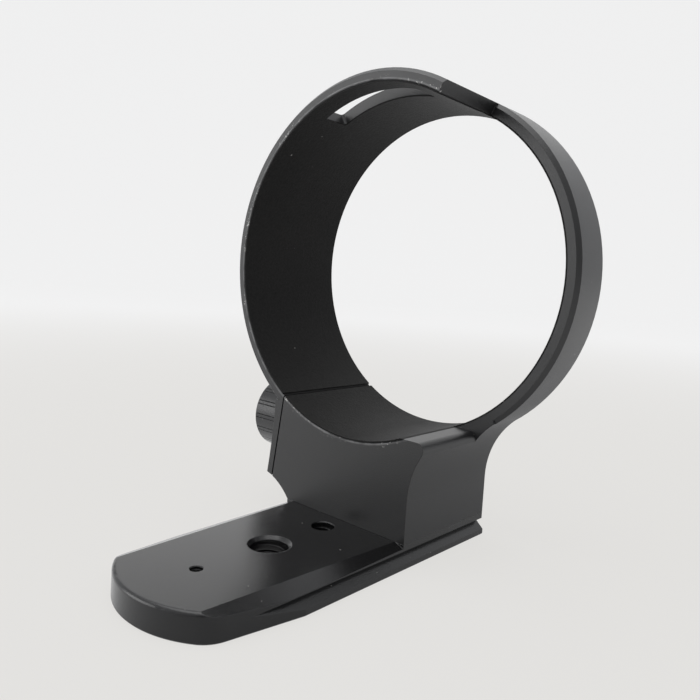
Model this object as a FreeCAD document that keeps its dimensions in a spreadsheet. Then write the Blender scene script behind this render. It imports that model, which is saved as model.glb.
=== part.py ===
import FreeCAD, Part
import math
import os
import re
import Sketcher

# Tripod collar for a long lens: a split clamping ring with a cut-away front, a mounting block,
# a dovetail foot screwed under the block, and a knurled knob that draws the ring closed.
# Origin: lens axis at the ring's front face. +Y runs to the back, +Z up, the knob is on -X.

doc = FreeCAD.newDocument("TripodCollar")
sheet = doc.addObject("Spreadsheet::Sheet", "Sizes")

sizes = {
    # ring
    "boreRadius": 40.45,
    "ringWall": 2.85,
    "ringWidth": 33.3,
    "rimChamfer": 0.9,
    "edgeBreak": 0.25,
    # cut-away on the right half, which leaves a band at the back
    "bandWidth": 12.6,
    "notchTopAngle": 61.5,
    "notchFloorRise": 3.45,
    "notchCornerRadius": 1.7,
    # distance-scale window
    "windowFront": 5.8,
    "windowLength": 7.4,
    "windowStartAngle": 77.0,
    "windowEndAngle": 117.7,
    "windowCornerRadius": 0.8,
    # lining sheet glued into the bore
    "liningThickness": 0.3,
    "liningSplit": 1.0,
    # mounting block
    "blockWidth": 37.0,
    "blockInset": 1.3,
    "blockHeight": 16.3,
    "shoulderRadius": 20.0,
    "neckRadius": 16.0,
    # ear, the free end of the ring beside the block, and the slit between them
    "earTopAngle": 35.15,
    "earOverhang": 8.2,
    "earRise": 5.0,
    "earFaceRadius": 150.0,
    "slitWidth": 0.4,
    "slitTopAngle": 32.7,
    "slitAngle": 7.9,
    # clamping screw, washer and knob
    "screwRise": 16.7,
    "screwRadius": 2.5,
    "screwReach": 11.5,
    "stemDepth": 9.0,
    "tipRoom": 1.5,
    "tipChamfer": 0.4,
    "earSeatWall": 2.3,
    "seatMargin": 0.5,
    "washerRadius": 5.0,
    "washerThickness": 1.0,
    "hubRadius": 5.5,
    "rimGap": 0.7,
    "knobRadius": 9.6,
    "knobLength": 12.6,
    "knobChamfer": 0.9,
    "knobDishRadius": 6.6,
    "knobDishDepth": 0.8,
    "grooveDepth": 0.25,
    "grooveAngle": 1.0,
    "groovePairs": 16,
    "groovePairAngle": 6.0,
    # clearances: a fixed fit, a turning fit and a free hole
    "fitGap": 0.05,
    "freeGap": 0.25,
    # foot
    "footThickness": 5.5,
    "footWidth": 38.0,
    "taperLength": 18.2,
    "noseRise": 6.5,
    "noseCornerWidth": 31.7,
    "noseReach": 53.7,
    "noseCornerRadius": 7.0,
    "noseFillet": 0.8,
    "topWidthAtBlock": 32.2,
    "topWidthAtNose": 26.8,
    "topSlope": 21.0,
    "stripHeight": 1.5,
    "neckDepth": 2.4,
    "neckWidth": 34.1,
    "flankDepth": 4.1,
    "smallHoleRadius": 1.25,
    "smallHoleInset": 14.0,
    "largeHoleRadius": 3.97,
    "largeHolePlace": 21.7,
    "mediumHoleRadius": 2.6,
    "mediumHolePlace": 5.9,
    "threadMouth": 0.7,
    "smallMouth": 0.15,
    # countersunk screws between foot and block
    "footScrewRadius": 2.0,
    "footScrewHeadRadius": 3.9,
    "footScrewSink": 0.3,
    "footScrewLength": 12.0,
    "footScrewInset": 8.0,
    "keyWidth": 2.5,
    "keyDepth": 1.5,
}

# places and sizes that follow from the driving ones; "drop" is a depth below the lens axis,
# "reach" a distance to the side of it, and "place" a distance along it
followers = {
    "ringRadius": "boreRadius + ringWall",
    "liningRadius": "boreRadius - fitGap",
    "insideRing": "boreRadius - 3 * ringWall",
    "beyondRing": "boreRadius + 3 * ringWall",
    "notchFloor": "boreRadius - notchFloorRise",
    "notchDepth": "ringWidth - bandWidth",
    "blockDepth": "ringWidth - blockInset",
    "blockSide": "blockWidth / 2",
    "jointDrop": "ringRadius + blockHeight",
    "shoulderReach": "blockSide + shoulderRadius",
    "shoulderDrop": "sqrt( ( ringRadius + shoulderRadius ) ^ 2 - shoulderReach ^ 2 )",
    "shoulderShare": "ringRadius / ( ringRadius + shoulderRadius )",
    "earTopReach": "ringRadius * sin( earTopAngle * 1deg )",
    "earTopDrop": "ringRadius * cos( earTopAngle * 1deg )",
    "earBottomReach": "blockSide + earOverhang",
    "earBottomDrop": "jointDrop - earRise",
    "slitTopReach": "boreRadius * sin( slitTopAngle * 1deg )",
    "slitTopDrop": "boreRadius * cos( slitTopAngle * 1deg )",
    "screwPlace": "blockDepth / 2",
    "screwDrop": "jointDrop - screwRise",
    "slitReachAtScrew": "slitTopReach + ( screwDrop - slitTopDrop ) * tan( slitAngle * 1deg )",
    "seatReach": "slitReachAtScrew + earSeatWall",
    "hubReach": "seatReach + washerThickness",
    "rimReach": "sqrt( ringRadius ^ 2 - ( screwDrop - knobRadius ) ^ 2 ) + rimGap",
    "knobReach": "rimReach + knobLength",
    "stemReach": "hubReach + stemDepth",
    "footDrop": "jointDrop + footThickness",
    "noseCornerPlace": "noseReach - noseRise",
    "taperPlace": "noseCornerPlace - taperLength",
    "noseRadius": "( ( noseCornerWidth / 2 ) ^ 2 + noseRise ^ 2 ) / ( 2 * noseRise )",
    "smallHolePlace": "noseReach - smallHoleInset",
}

for row, (alias, value) in enumerate(sizes.items(), start=1):
    sheet.set("A%d" % row, alias)
    sheet.set("B%d" % row, repr(value))
    sheet.setAlias("B%d" % row, alias)
doc.recompute()


def sized(text):
    """Point every driving size in an expression at its cell, and work out every follower."""
    def cell(word):
        if word[0] in followers:
            return "( " + sized(followers[word[0]]) + " )"
        return "Sizes." + word[0] if word[0] in sizes else word[0]
    return re.sub(r"[A-Za-z]+", cell, text)


def value(text):
    return float(sheet.evalExpression(sized(text)))


def newBody(label):
    body = doc.addObject("PartDesign::Body", label)
    body.Label = label
    return body


def newSketch(body, name, role, level=None, shift=None):
    """A sketch on one of the body's own origin planes, moved along its normal and across."""
    sketch = body.newObject("Sketcher::SketchObject", name)
    plane = [feature for feature in body.Origin.OriginFeatures if feature.Role == role][0]
    sketch.AttachmentSupport = (plane, "")
    sketch.MapMode = "FlatFace"
    if level is not None:
        sketch.setExpression("AttachmentOffset.Base.z", sized(level))
    if shift is not None:
        sketch.setExpression("AttachmentOffset.Base.x", sized(shift))
    return sketch


def bind(sketch, kind, arguments, text):
    """Add a size constraint and bind it to the sheet."""
    index = sketch.addConstraint(Sketcher.Constraint(kind, *arguments, value(text)))
    sketch.setExpression("Constraints[%d]" % index, sized(text))


def place(sketch, geometry, point, across, along):
    """Hold one point of a sketch at a place given by two expressions."""
    bind(sketch, "DistanceX", (-1, 1, geometry, point), across)
    bind(sketch, "DistanceY", (-1, 1, geometry, point), along)


def arcBetween(start, end, radius, turn):
    """Arc from start to end with its centre left (+1) or right (-1) of the way there."""
    chord = end - start
    rise = math.sqrt(max(radius ** 2 - (chord.Length / 2) ** 2, 0.0))
    side = FreeCAD.Vector(-chord.y, chord.x, 0).normalize() * turn
    centre = (start + end) / 2 + side * rise
    first = math.atan2(start.y - centre.y, start.x - centre.x)
    last = math.atan2(end.y - centre.y, end.x - centre.x)
    if turn < 0:
        first, last = last, first
    circle = Part.Circle(centre, FreeCAD.Vector(0, 0, 1), radius)
    return Part.ArcOfCircle(circle, first, last)


def outline(sketch, corners, arcs=None):
    """Closed outline through corners; arcs maps a corner's number to (radius, turn)."""
    arcs = arcs or {}
    points = [FreeCAD.Vector(value(across), value(along), 0) for across, along in corners]
    ends = []
    for number, start in enumerate(points):
        end = points[(number + 1) % len(points)]
        if number in arcs:
            radius, turn = arcs[number]
            geometry = sketch.addGeometry(arcBetween(start, end, value(radius), turn))
            bind(sketch, "Radius", (geometry,), radius)
            ends.append((geometry, 1, 2) if turn > 0 else (geometry, 2, 1))
        else:
            geometry = sketch.addGeometry(Part.LineSegment(start, end))
            ends.append((geometry, 1, 2))
    for number, (geometry, first, last) in enumerate(ends):
        following, entry = ends[(number + 1) % len(ends)][:2]
        sketch.addConstraint(Sketcher.Constraint("Coincident", geometry, last, following, entry))
    for (geometry, first, last), (across, along) in zip(ends, corners):
        place(sketch, geometry, first, across, along)
    return sketch


def disc(sketch, radius, across="0", along="0"):
    centre = FreeCAD.Vector(value(across), value(along), 0)
    geometry = sketch.addGeometry(Part.Circle(centre, FreeCAD.Vector(0, 0, 1), value(radius)))
    bind(sketch, "Radius", (geometry,), radius)
    place(sketch, geometry, 3, across, along)
    return sketch


def extrude(body, kind, sketch, length=None, backwards=False, bothWays=False):
    """Pad or Pocket of a sketch; with no length a pocket runs through everything."""
    feature = body.newObject("PartDesign::" + kind, sketch.Name + kind)
    feature.Profile = sketch
    feature.Reversed = backwards
    feature.Midplane = bothWays
    if length is None:
        feature.Type = "ThroughAll"
    else:
        feature.setExpression("Length", sized(length))
    doc.recompute()
    return feature


def turned(body, kind, sketch, axis):
    """Revolution or Groove of a sketch, a full turn about one of its own axes."""
    feature = body.newObject("PartDesign::" + kind, sketch.Name + kind)
    feature.Profile = sketch
    feature.ReferenceAxis = (sketch, [axis])
    feature.Angle = 360
    doc.recompute()
    return feature


def dress(body, kind, name, size, chosen):
    """Fillet or Chamfer on the edges of the body's tip that the test chooses."""
    base = body.Tip
    edges = ["Edge%d" % number for number, edge in enumerate(base.Shape.Edges, 1) if chosen(edge)]
    feature = body.newObject("PartDesign::" + kind, name)
    feature.Base = (base, edges)
    feature.setExpression("Radius" if kind == "Fillet" else "Size", sized(size))
    doc.recompute()
    return feature


def isFlat(edge, axis, level):
    """True if all of an edge lies at one level of an axis (0, 1 or 2)."""
    points = edge.discretize(5)
    return all(abs(point[axis] - level) < 1e-4 for point in points)


def isRadial(edge):
    """True for a straight edge that points at the lens axis."""
    if edge.Curve.TypeId != "Part::GeomLine" or len(edge.Vertexes) < 2:
        return False
    start, end = [vertex.Point for vertex in edge.Vertexes]
    return abs(start.x * end.z - start.z * end.x) < 1e-3 and abs(start.y - end.y) < 1e-4


def polar(radius, angle):
    """The two coordinates of a point at a radius and an angle about the lens axis."""
    return radius + " * cos( " + angle + " * 1deg )", radius + " * sin( " + angle + " * 1deg )"


def cutNotch(body):
    """The open front of the right half, down to a level floor that rounds into the block's side."""
    reach = "( shoulderRadius + notchCornerRadius )"
    drop = "( shoulderDrop - notchFloor - notchCornerRadius )"
    across = "sqrt( " + reach + " ^ 2 - " + drop + " ^ 2 )"
    share = "( shoulderRadius / " + reach + " )"
    meetingUp = "-shoulderDrop + " + drop + " * " + share
    sketch = outline(newSketch(body, "Notch", "XZ_Plane"), [
        ("0", "0"),
        ("0", "-notchFloor"),
        ("shoulderReach - " + across, "-notchFloor"),
        ("shoulderReach - " + across + " * " + share, meetingUp),
        ("beyondRing", meetingUp),
        ("beyondRing", "beyondRing"),
        polar("beyondRing", "notchTopAngle"),
    ], {2: ("notchCornerRadius", -1)})
    return extrude(body, "Pocket", sketch, "notchDepth")


def chamferBand(body):
    """Chamfer on the outer front edge of the band behind the cut-away."""
    section = outline(newSketch(body, "BandEdge", "XY_Plane"), [
        ("ringRadius - rimChamfer", "notchDepth"),
        ("ringRadius + rimChamfer", "notchDepth"),
        ("ringRadius + rimChamfer", "notchDepth + 2 * rimChamfer"),
    ])
    feature = turned(body, "Groove", section, "V_Axis")
    feature.Type = "TwoAngles"
    feature.setExpression("Angle", sized("atan( shoulderDrop / shoulderReach )"))
    feature.setExpression("Angle2", sized("notchTopAngle"))
    doc.recompute()


def cutWindow(body):
    """The distance-scale window through the top of the ring, with rounded corners."""
    sketch = outline(newSketch(body, "Window", "XZ_Plane", "-windowFront"), [
        polar("beyondRing", "windowStartAngle"),
        polar("beyondRing", "windowEndAngle"),
        polar("insideRing", "windowEndAngle"),
        polar("insideRing", "windowStartAngle"),
    ], {0: ("beyondRing", 1), 2: ("insideRing", -1)})
    extrude(body, "Pocket", sketch, "windowLength")
    levels = (value("windowFront"), value("windowFront + windowLength"))
    return dress(body, "Fillet", "WindowCorners", "windowCornerRadius", lambda edge: isRadial(edge)
                 and any(isFlat(edge, 1, level) for level in levels))


def cutSlit(body, width):
    """A straight saw cut of the given width along the slit between ear and block."""
    half = width + " / ( 2 * cos( slitAngle * 1deg ) )"
    top = "( slitTopDrop - 2 * ringWall )"
    bottom = "( earBottomDrop + 2 * ringWall )"
    topReach = "( slitTopReach + ( " + top + " - slitTopDrop ) * tan( slitAngle * 1deg ) )"
    bottomReach = "( slitTopReach + ( " + bottom + " - slitTopDrop ) * tan( slitAngle * 1deg ) )"
    sketch = outline(newSketch(body, "Slit", "XZ_Plane"), [
        ("-" + topReach + " - " + half, "-" + top),
        ("-" + bottomReach + " - " + half, "-" + bottom),
        ("-" + bottomReach + " + " + half, "-" + bottom),
        ("-" + topReach + " + " + half, "-" + top),
    ])
    return extrude(body, "Pocket", sketch, bothWays=True)


def collarBody():
    """Ring, block and ear, machined from one piece."""
    body = newBody("collar_body")
    rim = outline(newSketch(body, "Rim", "XY_Plane"), [
        ("0", "0"),
        ("ringRadius - rimChamfer", "0"),
        ("ringRadius", "rimChamfer"),
        ("ringRadius", "ringWidth - rimChamfer"),
        ("ringRadius - rimChamfer", "ringWidth"),
        ("0", "ringWidth"),
    ])
    turned(body, "Revolution", rim, "V_Axis")
    block = outline(newSketch(body, "Block", "XZ_Plane"), [
        ("-earTopReach", "-earTopDrop"),
        ("-earBottomReach", "-earBottomDrop"),
        ("-blockSide", "-jointDrop"),
        ("blockSide", "-jointDrop"),
        ("blockSide", "-shoulderDrop"),
        ("shoulderReach * shoulderShare", "-shoulderDrop * shoulderShare"),
    ], {0: ("earFaceRadius", -1), 1: ("neckRadius", -1), 4: ("shoulderRadius", -1)})
    extrude(body, "Pad", block, "blockDepth", backwards=True)
    bore = outline(newSketch(body, "Bore", "XY_Plane"), [
        ("0", "-1"),
        ("boreRadius + edgeBreak + 1", "-1"),
        ("boreRadius", "edgeBreak"),
        ("boreRadius", "ringWidth - edgeBreak"),
        ("boreRadius + edgeBreak + 1", "ringWidth + 1"),
        ("0", "ringWidth + 1"),
    ])
    turned(body, "Groove", bore, "V_Axis")
    cutNotch(body)
    cutWindow(body)
    cutSlit(body, "slitWidth")
    chamferBand(body)
    cutClampHoles(body)
    cutFootThreads(body)
    return body


def cutClampHoles(body):
    """Thread in the block, free hole in the ear and a flat seat for the washer."""
    steps = [
        ("ClampThread", "-( screwReach - tipRoom )", "screwRadius + fitGap"),
        ("EarHole", "-slitReachAtScrew", "screwRadius + freeGap"),
        ("WasherSeat", "-seatReach", "washerRadius + seatMargin"),
    ]
    for name, level, radius in steps:
        sketch = disc(newSketch(body, name, "YZ_Plane", level), radius, "screwPlace", "-screwDrop")
        extrude(body, "Pocket", sketch)


def footScrewPlaces():
    return [("front", "footScrewInset"), ("rear", "blockDepth - footScrewInset")]


def cutFootThreads(body):
    """Blind threaded holes for the foot's screws, from below."""
    depth = "footScrewSink + footScrewLength - footThickness + tipRoom"
    for name, where in footScrewPlaces():
        sketch = newSketch(body, "FootThread_" + name, "XY_Plane", "-jointDrop")
        disc(sketch, "footScrewRadius + fitGap", "0", where)
        extrude(body, "Pocket", sketch, depth, backwards=True)


def boreLining():
    """Thin sheet on the bore's wall, with the same window and cut-away, parted at the slit."""
    body = newBody("bore_lining")
    section = outline(newSketch(body, "Sheet", "XY_Plane"), [
        ("liningRadius - liningThickness", "0"),
        ("liningRadius", "0"),
        ("liningRadius", "ringWidth"),
        ("liningRadius - liningThickness", "ringWidth"),
    ])
    turned(body, "Revolution", section, "V_Axis")
    cutNotch(body)
    cutWindow(body)
    cutSlit(body, "liningSplit")
    return body


def slopeFootTop(body):
    """Sloping sides of the foot's top, from the block to the nose."""
    for name, side in (("Left", "-"), ("Right", "")):
        sections = []
        ends = [("AtBlock", "0", "topWidthAtBlock"), ("AtNose", "noseReach", "topWidthAtNose")]
        for end, level, width in ends:
            inner = side + width + " / 2"
            outer = side + "( " + width + " / 2 + footWidth / 4 )"
            sections.append(outline(newSketch(body, name + "Slope" + end, "XZ_Plane", level), [
                (inner, "-jointDrop + 1"),
                (inner, "-jointDrop"),
                (outer, "-jointDrop - footWidth / 4 * tan( topSlope * 1deg )"),
                (outer, "-jointDrop + 1"),
            ]))
        loft = body.newObject("PartDesign::SubtractiveLoft", name + "Slope")
        loft.Profile = sections[0]
        loft.Sections = [sections[1]]
        loft.Ruled = True
        doc.recompute()


def cutDovetails(body):
    """Dovetail groove under the strip on each side."""
    for name, side in (("Left", "-"), ("Right", "")):
        groove = outline(newSketch(body, name + "Groove", "XZ_Plane"), [
            (side + "footWidth", "-jointDrop + 1"),
            (side + "blockSide", "-jointDrop + 1"),
            (side + "blockSide", "-jointDrop - stripHeight"),
            (side + "neckWidth / 2", "-jointDrop - neckDepth"),
            (side + "footWidth / 2", "-jointDrop - flankDepth"),
            (side + "footWidth", "-jointDrop - flankDepth"),
        ])
        extrude(body, "Pocket", groove, bothWays=True)


def footPlate():
    """Dovetail foot with sloping top edges and three threaded holes."""
    body = newBody("foot_plate")
    plan = outline(newSketch(body, "Plan", "XY_Plane", "-footDrop"), [
        ("-footWidth / 2", "blockDepth"),
        ("-footWidth / 2", "-taperPlace"),
        ("-noseCornerWidth / 2", "-noseCornerPlace"),
        ("noseCornerWidth / 2", "-noseCornerPlace"),
        ("footWidth / 2", "-taperPlace"),
        ("footWidth / 2", "blockDepth"),
    ], {2: ("noseRadius", 1)})
    extrude(body, "Pad", plan, "footThickness")
    cornerPlace = -value("noseCornerPlace")
    dress(body, "Fillet", "NoseCorners", "noseCornerRadius", lambda edge: isFlat(edge, 1, cornerPlace)
          and edge.BoundBox.ZLength > 1)
    top = -value("jointDrop")
    taperStart = -value("taperPlace")
    dress(body, "Fillet", "TopEdge", "noseFillet", lambda edge: isFlat(edge, 2, top)
          and edge.BoundBox.YMax < taperStart + 1)
    slopeFootTop(body)
    cutDovetails(body)
    bottom = -value("footDrop")
    dress(body, "Chamfer", "BottomEdge", "edgeBreak", lambda edge: isFlat(edge, 2, bottom))
    threads = [
        ("SmallThread", "smallHoleRadius", "smallMouth", "-smallHolePlace"),
        ("LargeThread", "largeHoleRadius", "threadMouth", "-largeHolePlace"),
        ("MediumThread", "mediumHoleRadius", "smallMouth", "-mediumHolePlace"),
    ]
    for name, radius, mouth, where in threads:
        flare = radius + " + " + mouth + " + 1"
        section = outline(newSketch(body, name, "YZ_Plane", shift=where), [
            ("0", "-footDrop - 1"),
            (flare, "-footDrop - 1"),
            (radius, "-footDrop + " + mouth),
            (radius, "-jointDrop - " + mouth),
            (flare, "-jointDrop + 1"),
            ("0", "-jointDrop + 1"),
        ])
        turned(body, "Groove", section, "V_Axis")
    for name, where in footScrewPlaces():
        section = outline(newSketch(body, "Countersink_" + name, "YZ_Plane", shift=where), [
            ("0", "-footDrop - 1"),
            ("footScrewHeadRadius + fitGap", "-footDrop - 1"),
            ("footScrewHeadRadius + fitGap", "-footDrop + footScrewSink"),
            ("footScrewRadius + freeGap",
             "-footDrop + footScrewSink + footScrewHeadRadius + fitGap - footScrewRadius - freeGap"),
            ("footScrewRadius + freeGap", "-jointDrop + 1"),
            ("0", "-jointDrop + 1"),
        ])
        turned(body, "Groove", section, "V_Axis")
    return body


def onClampAxis(body):
    """Bodies turned about the clamping screw are drawn about X and moved to its axis."""
    body.setExpression("Placement.Base.y", sized("screwPlace"))
    body.setExpression("Placement.Base.z", sized("-screwDrop"))
    return body


def knobWasher():
    body = onClampAxis(newBody("knob_washer"))
    section = outline(newSketch(body, "WasherSection", "XY_Plane"), [
        ("-seatReach", "screwRadius + freeGap"),
        ("-seatReach", "washerRadius"),
        ("-hubReach", "washerRadius"),
        ("-hubReach", "screwRadius + freeGap"),
    ])
    turned(body, "Revolution", section, "H_Axis")
    return body


def clampScrew():
    """Threaded stem, fixed in the knob, that reaches through the ear into the block."""
    body = onClampAxis(newBody("clamp_screw"))
    section = outline(newSketch(body, "ScrewSection", "XY_Plane"), [
        ("-screwReach", "0"),
        ("-screwReach", "screwRadius - tipChamfer"),
        ("-screwReach - tipChamfer", "screwRadius"),
        ("-stemReach + fitGap", "screwRadius"),
        ("-stemReach + fitGap", "0"),
    ])
    turned(body, "Revolution", section, "H_Axis")
    return body


def clampKnob():
    """Knurled knob: a hub against the washer, a rim cut by pairs of grooves, a dished end."""
    body = onClampAxis(newBody("clamp_knob"))
    section = outline(newSketch(body, "KnobSection", "XY_Plane"), [
        ("-hubReach", "screwRadius + fitGap"),
        ("-hubReach", "hubRadius"),
        ("-rimReach", "hubRadius"),
        ("-rimReach", "knobRadius - knobChamfer / 2"),
        ("-rimReach - knobChamfer / 2", "knobRadius"),
        ("-knobReach + knobChamfer", "knobRadius"),
        ("-knobReach", "knobRadius - knobChamfer"),
        ("-knobReach", "knobDishRadius"),
        ("-knobReach + knobDishDepth", "knobDishRadius - knobDishDepth"),
        ("-knobReach + knobDishDepth", "0"),
        ("-stemReach", "0"),
        ("-stemReach", "screwRadius + fitGap"),
    ])
    turned(body, "Revolution", section, "H_Axis")
    groove = newSketch(body, "GroovePair", "YZ_Plane")
    for side in ("-", "+"):
        middle = "90 " + side + " groovePairAngle / 2"
        outline(groove, [
            polar("( knobRadius + grooveDepth / 4 )", "( " + middle + " - grooveAngle )"),
            polar("( knobRadius + grooveDepth / 4 )", "( " + middle + " + grooveAngle )"),
            polar("( knobRadius - grooveDepth )", "( " + middle + " )"),
        ])
    pair = extrude(body, "Pocket", groove, bothWays=True)
    pattern = body.newObject("PartDesign::PolarPattern", "Knurl")
    pattern.Originals = [pair]
    pattern.Axis = (groove, ["N_Axis"])
    pattern.Angle = 360
    pattern.setExpression("Occurrences", sized("groovePairs"))
    body.Tip = pattern
    doc.recompute()
    return body


def footScrew(name, where):
    """Countersunk screw with a hexagon socket, from under the foot into the block."""
    body = newBody("foot_screw_" + name)
    body.setExpression("Placement.Base.y", sized(where))
    body.setExpression("Placement.Base.z", sized("-footDrop + footScrewSink"))
    section = outline(newSketch(body, "FootScrewSection", "XZ_Plane"), [
        ("0", "0"),
        ("footScrewHeadRadius", "0"),
        ("footScrewRadius", "footScrewHeadRadius - footScrewRadius"),
        ("footScrewRadius", "footScrewLength - tipChamfer"),
        ("footScrewRadius - tipChamfer", "footScrewLength"),
        ("0", "footScrewLength"),
    ])
    turned(body, "Revolution", section, "V_Axis")
    corner = "( keyWidth / ( 2 * cos( 30deg ) ) )"
    socket = outline(newSketch(body, "Socket", "XY_Plane"), [
        polar(corner, str(60 * side)) for side in range(6)
    ])
    extrude(body, "Pocket", socket, "keyDepth", backwards=True)
    return body


parts = [collarBody(), boreLining(), footPlate(), knobWasher(), clampScrew(), clampKnob()]
for screwName, screwWhere in footScrewPlaces():
    parts.append(footScrew(screwName, screwWhere))
doc.recompute()

for item in doc.Objects:
    if "Invalid" in item.State or "Error" in item.State:
        raise RuntimeError(item.Name + " failed: " + str(item.State))

os.makedirs("parts", exist_ok=True)
for part in parts:
    shape = part.Shape
    if shape.isNull() or not shape.isValid():
        raise RuntimeError(part.Label + " has no valid shape")
    print(part.Label, len(shape.Solids), round(shape.Volume, 1), shape.BoundBox)
    shape.exportStep("parts/" + part.Label + ".step")
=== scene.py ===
import math
import bpy
from mathutils import Matrix, Vector


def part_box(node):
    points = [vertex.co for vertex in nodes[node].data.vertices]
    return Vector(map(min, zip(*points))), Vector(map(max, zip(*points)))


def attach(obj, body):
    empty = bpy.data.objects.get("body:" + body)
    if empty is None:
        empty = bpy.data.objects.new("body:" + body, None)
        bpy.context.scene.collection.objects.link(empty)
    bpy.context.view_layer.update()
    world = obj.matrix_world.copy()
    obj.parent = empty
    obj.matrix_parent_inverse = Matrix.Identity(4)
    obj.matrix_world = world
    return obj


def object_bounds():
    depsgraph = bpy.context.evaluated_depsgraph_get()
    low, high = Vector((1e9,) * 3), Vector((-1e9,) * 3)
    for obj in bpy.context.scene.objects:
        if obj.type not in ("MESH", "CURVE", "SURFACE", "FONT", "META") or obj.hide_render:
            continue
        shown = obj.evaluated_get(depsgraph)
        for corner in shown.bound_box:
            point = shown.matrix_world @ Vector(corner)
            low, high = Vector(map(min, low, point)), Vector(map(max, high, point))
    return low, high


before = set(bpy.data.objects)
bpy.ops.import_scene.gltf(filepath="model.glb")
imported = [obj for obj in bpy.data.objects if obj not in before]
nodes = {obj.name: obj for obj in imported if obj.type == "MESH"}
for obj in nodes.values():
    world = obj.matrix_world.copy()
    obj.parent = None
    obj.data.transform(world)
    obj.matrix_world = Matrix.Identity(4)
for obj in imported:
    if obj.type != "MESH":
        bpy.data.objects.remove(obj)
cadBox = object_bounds()
mm = 0.001
smoothAngle = math.radians(30)

# the photo's camera, fitted to the ring, the block and the foot
camera = {
    "place": (100.07 * mm, -111.49 * mm, -3.27 * mm),
    "azimuth": 41.94,
    "elevation": 3.82,
    "roll": 3.63,
    "lens": 33.84,
    "sensor": 36,
    "shift": (-0.0043, -0.0403),
    "clip": (0.001, 20),
}


def addCamera():
    turn = math.radians(camera["azimuth"])
    dip = math.radians(camera["elevation"])
    roll = math.radians(camera["roll"])
    ahead = Vector((-math.sin(turn), math.cos(turn), 0))
    forward = math.cos(dip) * ahead - math.sin(dip) * Vector((0, 0, 1))
    level = Vector((math.cos(turn), math.sin(turn), 0))
    raised = level.cross(forward)
    across = math.cos(roll) * level + math.sin(roll) * raised
    upward = -math.sin(roll) * level + math.cos(roll) * raised
    data = bpy.data.cameras.new("photoCamera")
    data.lens = camera["lens"]
    data.sensor_width = camera["sensor"]
    data.shift_x, data.shift_y = camera["shift"]
    data.clip_start, data.clip_end = camera["clip"]
    eye = bpy.data.objects.new("photoCamera", data)
    bpy.context.scene.collection.objects.link(eye)
    pose = Matrix((across, upward, -forward)).transposed().to_4x4()
    pose.translation = Vector(camera["place"])
    eye.matrix_world = pose
    bpy.context.scene.camera = eye


print("camera")
addCamera()

# materials: all of them read Object coordinates, so a scale counts per metre

cloudSpan = (0.35, 0.65)
roughSpan = (0.3, 0.7)


def newMaterial(name):
    material = bpy.data.materials.new(name)
    material.use_nodes = True
    tree = material.node_tree
    surface = tree.nodes["Principled BSDF"]
    place = tree.nodes.new("ShaderNodeTexCoord").outputs["Object"]
    return material, tree, surface, place


def addNoise(tree, place, scale, detail=3.0, roughness=0.55):
    noise = tree.nodes.new("ShaderNodeTexNoise")
    noise.inputs["Scale"].default_value = scale
    noise.inputs["Detail"].default_value = detail
    noise.inputs["Roughness"].default_value = roughness
    tree.links.new(place, noise.inputs["Vector"])
    return noise.outputs["Fac"]


def addRange(tree, source, low, high, newLow=0.0, newHigh=1.0):
    span = tree.nodes.new("ShaderNodeMapRange")
    span.inputs["From Min"].default_value = low
    span.inputs["From Max"].default_value = high
    span.inputs["To Min"].default_value = newLow
    span.inputs["To Max"].default_value = newHigh
    tree.links.new(source, span.inputs["Value"])
    return span.outputs["Result"]


def addMath(tree, operation, first, second=None):
    step = tree.nodes.new("ShaderNodeMath")
    step.operation = operation
    for socket, given in zip(step.inputs, (first, second)):
        if given is None:
            continue
        if isinstance(given, (int, float)):
            socket.default_value = given
        else:
            tree.links.new(given, socket)
    return step.outputs["Value"]


def addMix(tree, factor, first, second):
    mix = tree.nodes.new("ShaderNodeMix")
    mix.data_type = "RGBA"
    tree.links.new(factor, mix.inputs["Factor"])
    for socket, given in ((mix.inputs[6], first), (mix.inputs[7], second)):
        if isinstance(given, tuple):
            socket.default_value = (*given, 1)
        else:
            tree.links.new(given, socket)
    return mix.outputs[2]


def addBump(tree, height, distance, under=None):
    bump = tree.nodes.new("ShaderNodeBump")
    bump.inputs["Distance"].default_value = distance
    bump.inputs["Strength"].default_value = 1.0
    tree.links.new(height, bump.inputs["Height"])
    if under is not None:
        tree.links.new(under, bump.inputs["Normal"])
    return bump.outputs["Normal"]


def addSoftEdge(tree, radius):
    softEdge = tree.nodes.new("ShaderNodeBevel")
    softEdge.samples = 4
    softEdge.inputs["Radius"].default_value = radius
    return softEdge.outputs["Normal"]


wearAndShade = {
    "edgeRadius": 40.6 * mm,
    "core": 0.20 * mm,
    "rubbedReach": 0.50 * mm,
    "rubbedNoise": (160, 3.0),
    "rubbedSpan": (0.32, 0.58),
    "rubbedColour": (0.10, 0.10, 0.10),
    "bareReach": 1.2 * mm,
    "chipNoise": (1300, 2.0),
    "chipSpan": (0.60, 0.64),
    "patchNoise": (75, 1.0),
    "patchSpan": (0.49, 0.57),
    "bareColour": (0.46, 0.45, 0.43),
    # painted shade: a near-black matt band on the metal inside this radius, for the shaded gap
    # along the lining
    "shadedGapRadius": 40.47 * mm,
    "paintedShadeColour": (0.0006, 0.0006, 0.0006),
    "shadedGapRoughness": 0.95,
}


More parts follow.
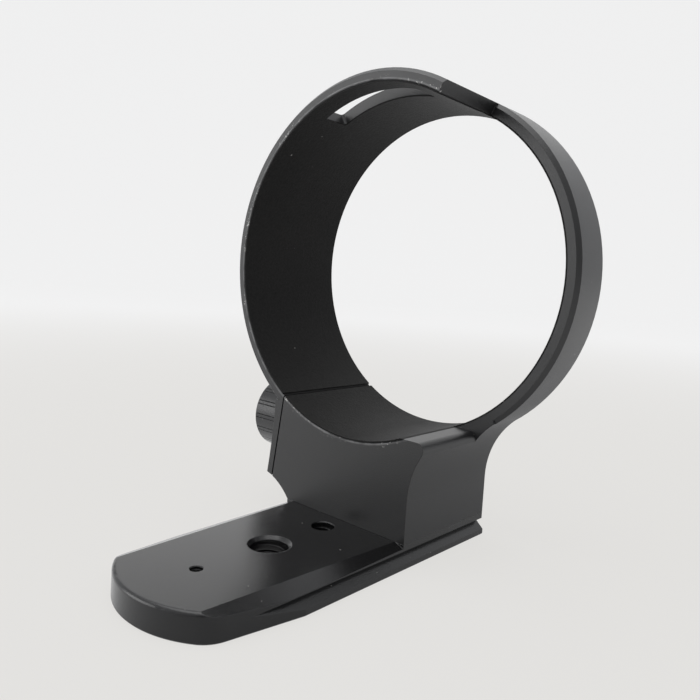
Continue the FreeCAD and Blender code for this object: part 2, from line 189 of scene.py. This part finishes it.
def addRimWearAndPaintedShade(tree, place, colour, rough):
    """Painted shade in the bore: a near-black matt band on the metal inside the lining's edge,
    for the shaded gap there; and a rubbed line and bare specks along its front edge.
    """
    parts = tree.nodes.new("ShaderNodeSeparateXYZ")
    tree.links.new(place, parts.inputs["Vector"])
    across = addMath(tree, "MULTIPLY", parts.outputs["X"], parts.outputs["X"])
    upward = addMath(tree, "MULTIPLY", parts.outputs["Z"], parts.outputs["Z"])
    radius = addMath(tree, "SQRT", addMath(tree, "ADD", across, upward))
    # painted shade: near-black matt colour inside the gap radius, standing in for the shaded
    # gap along the lining
    inShadedGap = addMath(tree, "LESS_THAN", radius, wearAndShade["shadedGapRadius"])
    colour = addMix(tree, inShadedGap, colour, wearAndShade["paintedShadeColour"])
    dull = tree.nodes.new("ShaderNodeMix")
    tree.links.new(inShadedGap, dull.inputs["Factor"])
    tree.links.new(rough, dull.inputs["A"])
    dull.inputs["B"].default_value = wearAndShade["shadedGapRoughness"]
    aside = addMath(tree, "ABSOLUTE", addMath(tree, "SUBTRACT", radius, wearAndShade["edgeRadius"]))
    front = addMath(tree, "ABSOLUTE", parts.outputs["Y"])
    gap = addMath(tree, "ADD", aside, front)
    nearEdge = addRange(tree, gap, wearAndShade["rubbedReach"], wearAndShade["core"])
    rubbing = addRange(tree, addNoise(tree, place, *wearAndShade["rubbedNoise"]), *wearAndShade["rubbedSpan"])
    rubbed = addMath(tree, "MULTIPLY", nearEdge, rubbing)
    colour = addMix(tree, rubbed, colour, wearAndShade["rubbedColour"])
    nearRim = addRange(tree, gap, wearAndShade["bareReach"], wearAndShade["core"])
    chips = addRange(tree, addNoise(tree, place, *wearAndShade["chipNoise"]), *wearAndShade["chipSpan"])
    patches = addRange(tree, addNoise(tree, place, *wearAndShade["patchNoise"]), *wearAndShade["patchSpan"])
    bare = addMath(tree, "MULTIPLY", addMath(tree, "MULTIPLY", chips, nearRim), patches)
    return addMix(tree, bare, colour, wearAndShade["bareColour"]), dull.outputs["Result"]


anodised = {
    "dark": (0.0030, 0.0030, 0.0032),
    "light": (0.0052, 0.0052, 0.0055),
    "grain": 4200,
    "grainHeight": 0.030 * mm,
    "cloudScale": 28,
    "dustScale": 1500,
    "dustSpan": (0.90, 0.92),
    "dustColour": (0.22, 0.21, 0.20),
}


def makeAnodised(name, roughness, shade=1.0, wornAndShaded=False, edge=0.14 * mm):
    material, tree, surface, place = newMaterial(name)
    clouds = addNoise(tree, place, anodised["cloudScale"], 2.0)
    dark = tuple(part * shade for part in anodised["dark"])
    light = tuple(part * shade for part in anodised["light"])
    colour = addMix(tree, addRange(tree, clouds, *cloudSpan), dark, light)
    dust = addNoise(tree, place, anodised["dustScale"], 0.0)
    dusty = addRange(tree, dust, *anodised["dustSpan"])
    colour = addMix(tree, dusty, colour, anodised["dustColour"])
    rough = addRange(tree, clouds, *roughSpan, *roughness)
    if wornAndShaded:
        colour, rough = addRimWearAndPaintedShade(tree, place, colour, rough)
    tree.links.new(colour, surface.inputs["Base Color"])
    tree.links.new(rough, surface.inputs["Roughness"])
    grain = addNoise(tree, place, anodised["grain"], 2.0)
    normal = addBump(tree, grain, anodised["grainHeight"], addSoftEdge(tree, edge))
    tree.links.new(normal, surface.inputs["Normal"])
    return material


lining = {
    "dark": (0.0016, 0.0015, 0.0014),
    "light": (0.0078, 0.0074, 0.0069),
    "roughness": 0.62,
    "specular": 0.16,
    "grain": 1500,
    "grainShare": 0.7,
    "grainHeight": 0.12 * mm,
    "cloudScale": 45,
    "cloudShare": 0.3,
    "dustScale": 600,
    "dustSpan": (0.80, 0.84),
    "dustColour": (0.16, 0.155, 0.15),
}


def makeLining(name):
    material, tree, surface, place = newMaterial(name)
    clouds = addNoise(tree, place, lining["cloudScale"], 4.0)
    grain = addNoise(tree, place, lining["grain"], 4.0, 0.7)
    fine = addMath(tree, "MULTIPLY", grain, lining["grainShare"])
    broad = addMath(tree, "MULTIPLY", clouds, lining["cloudShare"])
    mottle = addRange(tree, addMath(tree, "ADD", fine, broad), *cloudSpan)
    colour = addMix(tree, mottle, lining["dark"], lining["light"])
    dust = addNoise(tree, place, lining["dustScale"], 1.0)
    dusty = addRange(tree, dust, *lining["dustSpan"])
    colour = addMix(tree, dusty, colour, lining["dustColour"])
    tree.links.new(colour, surface.inputs["Base Color"])
    surface.inputs["Roughness"].default_value = lining["roughness"]
    surface.inputs["Specular IOR Level"].default_value = lining["specular"]
    tree.links.new(addBump(tree, grain, lining["grainHeight"]), surface.inputs["Normal"])
    return material


steel = {
    "dark": (0.42, 0.42, 0.43),
    "light": (0.58, 0.58, 0.59),
    "roughness": (0.25, 0.4),
    "streaks": (900, 4.0),
    "streakHeight": 0.004 * mm,
}


def makeSteel(name, shade=1.0):
    material, tree, surface, place = newMaterial(name)
    streaks = addNoise(tree, place, *steel["streaks"])
    dark = tuple(part * shade for part in steel["dark"])
    light = tuple(part * shade for part in steel["light"])
    tree.links.new(addMix(tree, streaks, dark, light), surface.inputs["Base Color"])
    surface.inputs["Metallic"].default_value = 1.0
    rough = addRange(tree, streaks, *roughSpan, *steel["roughness"])
    tree.links.new(rough, surface.inputs["Roughness"])
    tree.links.new(addBump(tree, streaks, steel["streakHeight"]), surface.inputs["Normal"])
    return material


print("materials")
collarMetal = makeAnodised("collarAnodised", (0.34, 0.42), wornAndShaded=True)
footMetal = makeAnodised("footAnodised", (0.17, 0.22), edge=0.25 * mm)
# painted light: the knob's copy of the anodising is 1.5 times lighter, standing in for light
# the lamps give the knob too little of
knobMetalPaintedLight = makeAnodised("knobAnodisedPaintedLight", (0.24, 0.30), 1.5)
liningSheet = makeLining("liningSheet")
plainSteel = makeSteel("plainSteel")
blackSteel = makeSteel("blackSteel", 0.12)

finishes = {
    "collar_body": collarMetal,
    "bore_lining": liningSheet,
    "foot_plate": footMetal,
    "clamp_knob": knobMetalPaintedLight,
    "clamp_screw": plainSteel,
    "knob_washer": plainSteel,
    "foot_screw_front": blackSteel,
    "foot_screw_rear": blackSteel,
}


def dressNode(node, material):
    node.data.materials.clear()
    node.data.materials.append(material)
    bpy.ops.object.select_all(action="DESELECT")
    node.select_set(True)
    bpy.context.view_layer.objects.active = node
    bpy.ops.object.shade_smooth_by_angle(angle=smoothAngle)


for nodeName, finish in finishes.items():
    dressNode(nodes[nodeName], finish)

# thread ridges in the foot's holes, which are plain cylinders in the solids

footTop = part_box("foot_plate")[1][2]
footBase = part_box("foot_plate")[0][2]
ridge = {"sizeShare": 0.42, "sunkShare": 0.25, "steps": 40, "mergeGap": 0.001 * mm}

threads = {
    "thread_ridge_large": {
        "along": -21.7 * mm,
        "radius": 3.97 * mm,
        "pitch": 1.5875 * mm,
        "mouth": 0.75 * mm,
    },
    "thread_ridge_medium": {
        "along": -5.9 * mm,
        "radius": 2.6 * mm,
        "pitch": 1.27 * mm,
        "mouth": 0.3 * mm,
    },
    "thread_ridge_small": {
        "along": -39.7 * mm,
        "radius": 1.25 * mm,
        "pitch": 0.5 * mm,
        "mouth": 0.25 * mm,
    },
}


def addThread(name, thread):
    pitch = thread["pitch"]
    size = ridge["sizeShare"] * pitch
    bpy.ops.object.select_all(action="DESELECT")
    bpy.ops.mesh.primitive_circle_add(vertices=3, radius=size, location=(0, 0, 0))
    piece = bpy.context.object
    piece.name = name
    middle = thread["radius"] - ridge["sunkShare"] * size
    for point in piece.data.vertices:
        upward, inward = point.co.x, point.co.y
        point.co = Vector((middle + inward, 0, upward))
    turns = int((footTop - footBase - 2 * thread["mouth"]) / pitch)
    screw = piece.modifiers.new("helix", "SCREW")
    screw.axis = "Z"
    screw.angle = math.radians(360)
    screw.screw_offset = pitch
    screw.iterations = turns
    screw.steps = screw.render_steps = ridge["steps"]
    bpy.ops.object.modifier_apply(modifier="helix")
    piece.location = (0, thread["along"], (footTop + footBase - turns * pitch) / 2)
    bpy.ops.object.transform_apply(location=True, rotation=False, scale=False)
    bpy.ops.object.mode_set(mode="EDIT")
    bpy.ops.mesh.select_all(action="SELECT")
    bpy.ops.mesh.remove_doubles(threshold=ridge["mergeGap"])
    bpy.ops.mesh.fill_holes(sides=3)
    bpy.ops.mesh.normals_make_consistent(inside=False)
    bpy.ops.object.mode_set(mode="OBJECT")
    bpy.ops.object.shade_smooth_by_angle(angle=smoothAngle)
    piece.data.materials.append(footMetal)
    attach(piece, "collar")


print("threads")
for threadName, thread in threads.items():
    addThread(threadName, thread)

# stage: floor and backdrop in one sweep, soft lamps

stage = {
    "size": 3.2,
    "forward": -0.4,
    "height": 1.8,
    "bend": 0.6,
    "bendSegments": 16,
    "edgeRoom": 0.01,
    "colour": (0.84, 0.84, 0.85),
    "paperNoise": (3.0, 2.0),
    "paperDim": 0.98,
    "paperRoughness": 0.9,
    "paperSpecular": 0.1,
    # painted shade and light: camera rays see the floor near the object darker and the backdrop
    # further away brighter
    "floorSeenPaintedShade": (0.745, 0.735, 0.715),
    "backdropSeenPaintedLight": (0.885, 0.885, 0.885),
    "nearBlend": 0.10,
    "farBlend": 0.9,
    "seenShare": 0.93,
    # painted reflection: glows that only the object's reflections see; beside the object on its
    # +X side they are dimmed as a painted shadow
    "leftPaintedReflection": (1.08, 1.08, 1.08),
    "besidePaintedShadow": (0.53, 0.53, 0.53),
    "rightPaintedReflection": (1.12, 1.12, 1.12),
    "leftEnd": -0.03,
    "besidePlace": 0.02,
    "rightStart": 0.09,
    "backdropPaintedReflection": (1.35, 1.35, 1.35),
    "paintedReflectionShare": 0.8,
    "roomColour": (0.95, 0.96, 0.98),
    "roomStrength": 0.95,
    "dimStrength": 0.10,
    "dimSpan": (0.80, 0.97),
    "seenStrength": 0.86,
}

lamps = {
    "topLamp": {"place": (-0.1, -0.1, 0.9), "size": (0.9, 0.9), "power": 5},
    "leftLamp": {"place": (-0.65, -0.85, 0.2), "size": (0.7, 0.7), "power": 4},
}


def selectPoints(piece, chosen):
    bpy.ops.object.mode_set(mode="EDIT")
    bpy.ops.mesh.select_mode(type="VERT")
    bpy.ops.mesh.select_all(action="DESELECT")
    bpy.ops.object.mode_set(mode="OBJECT")
    for point in piece.data.vertices:
        point.select = chosen(point.co)
    bpy.ops.object.mode_set(mode="EDIT")
    bpy.ops.mesh.select_mode(type="EDGE")


def addSweep():
    bpy.ops.object.select_all(action="DESELECT")
    bpy.ops.mesh.primitive_plane_add(size=stage["size"], location=(0, 0, 0))
    sweep = bpy.context.object
    sweep.name = "sweep"
    room = stage["edgeRoom"]
    half = stage["size"] / 2 - room
    selectPoints(sweep, lambda place: place.y > half)
    rise = (0, 0, stage["height"])
    bpy.ops.mesh.extrude_region_move(TRANSFORM_OT_translate={"value": rise})
    bpy.ops.object.mode_set(mode="OBJECT")
    selectPoints(sweep, lambda place: place.y > half and place.z < room)
    bpy.ops.mesh.bevel(offset=stage["bend"], segments=stage["bendSegments"], affect="EDGES")
    bpy.ops.object.mode_set(mode="OBJECT")
    turn = math.radians(camera["azimuth"])
    away = Vector((-math.sin(turn), math.cos(turn), 0))
    sweep.location = away * -stage["forward"] + Vector((0, 0, cadBox[0][2]))
    sweep.rotation_euler = (0, 0, turn)
    bpy.ops.object.transform_apply(location=True, rotation=True, scale=False)
    bpy.ops.object.shade_smooth()
    sweep.data.materials.append(makePaper("sweepPaper"))


def makePaper(name):
    """Paper that camera rays and reflections see as a painted glow at a chosen brightness, with
    a painted shadow beside the object in the reflections, and lit as usual otherwise.
    """
    material, tree, surface, place = newMaterial(name)
    paper = addNoise(tree, place, *stage["paperNoise"])
    pale = stage["colour"]
    dim = tuple(part * stage["paperDim"] for part in pale)
    tree.links.new(addMix(tree, paper, dim, pale), surface.inputs["Base Color"])
    surface.inputs["Roughness"].default_value = stage["paperRoughness"]
    surface.inputs["Specular IOR Level"].default_value = stage["paperSpecular"]
    path = tree.nodes.new("ShaderNodeLightPath")
    output = tree.nodes["Material Output"]
    lit = surface.outputs["BSDF"]
    distance = tree.nodes.new("ShaderNodeVectorMath")
    distance.operation = "LENGTH"
    tree.links.new(place, distance.inputs[0])
    rise = addRange(tree, distance.outputs["Value"], stage["nearBlend"], stage["farBlend"])
    rise.node.interpolation_type = "SMOOTHSTEP"
    # painted falloff of light for camera rays: darker floor near the object, brighter backdrop
    # far off
    seen = addMix(tree, rise, stage["floorSeenPaintedShade"], stage["backdropSeenPaintedLight"])
    parts = tree.nodes.new("ShaderNodeSeparateXYZ")
    tree.links.new(place, parts.inputs["Vector"])
    # painted reflection of the sweep, with a painted shadow beside the object on the +X side
    toBeside = addRange(tree, parts.outputs["X"], stage["leftEnd"], stage["besidePlace"])
    toRight = addRange(tree, parts.outputs["X"], stage["besidePlace"], stage["rightStart"])
    near = addMix(tree, toBeside, stage["leftPaintedReflection"], stage["besidePaintedShadow"])
    near = addMix(tree, toRight, near, stage["rightPaintedReflection"])
    mirrored = addMix(tree, rise, near, stage["backdropPaintedReflection"])
    shares = (
        ("Is Glossy Ray", stage["paintedReflectionShare"], mirrored),
        ("Is Camera Ray", stage["seenShare"], seen),
    )
    for ray, share, colour in shares:
        glow = tree.nodes.new("ShaderNodeEmission")
        tree.links.new(colour, glow.inputs["Color"])
        blend = tree.nodes.new("ShaderNodeMixShader")
        tree.links.new(addMath(tree, "MULTIPLY", path.outputs[ray], share), blend.inputs["Fac"])
        tree.links.new(lit, blend.inputs[1])
        tree.links.new(glow.outputs["Emission"], blend.inputs[2])
        lit = blend.outputs["Shader"]
    tree.links.new(lit, output.inputs["Surface"])
    return material


def addRoom():
    """Pale room that is dim on the photographer's side."""
    world = bpy.data.worlds.new("softRoom")
    bpy.context.scene.world = world
    world.use_nodes = True
    tree = world.node_tree
    shade = tree.nodes["Background"]
    shade.inputs["Color"].default_value = (*stage["roomColour"], 1)
    turn = math.radians(camera["azimuth"])
    towards = tree.nodes.new("ShaderNodeVectorMath")
    towards.operation = "DOT_PRODUCT"
    direction = tree.nodes.new("ShaderNodeTexCoord").outputs["Generated"]
    tree.links.new(direction, towards.inputs[0])
    towards.inputs[1].default_value = (math.sin(turn), -math.cos(turn), 0)
    facing = towards.outputs["Value"]
    levels = (stage["roomStrength"], stage["dimStrength"])
    strength = addRange(tree, facing, *stage["dimSpan"], *levels)
    cameraRay = tree.nodes.new("ShaderNodeLightPath").outputs["Is Camera Ray"]
    seen = addMath(tree, "MULTIPLY", cameraRay, stage["seenStrength"])
    tree.links.new(addMath(tree, "MAXIMUM", strength, seen), shade.inputs["Strength"])


def addLamp(name, lamp):
    data = bpy.data.lights.new(name, "AREA")
    data.shape = "RECTANGLE"
    data.size, data.size_y = lamp["size"]
    data.energy = lamp["power"]
    holder = bpy.data.objects.new(name, data)
    bpy.context.scene.collection.objects.link(holder)
    holder.location = lamp["place"]
    holder.rotation_euler = (-Vector(lamp["place"])).to_track_quat("-Z", "Y").to_euler()


print("stage")
addSweep()
addRoom()
for lampName, lamp in lamps.items():
    addLamp(lampName, lamp)

bpy.context.scene.view_settings.view_transform = "Standard"
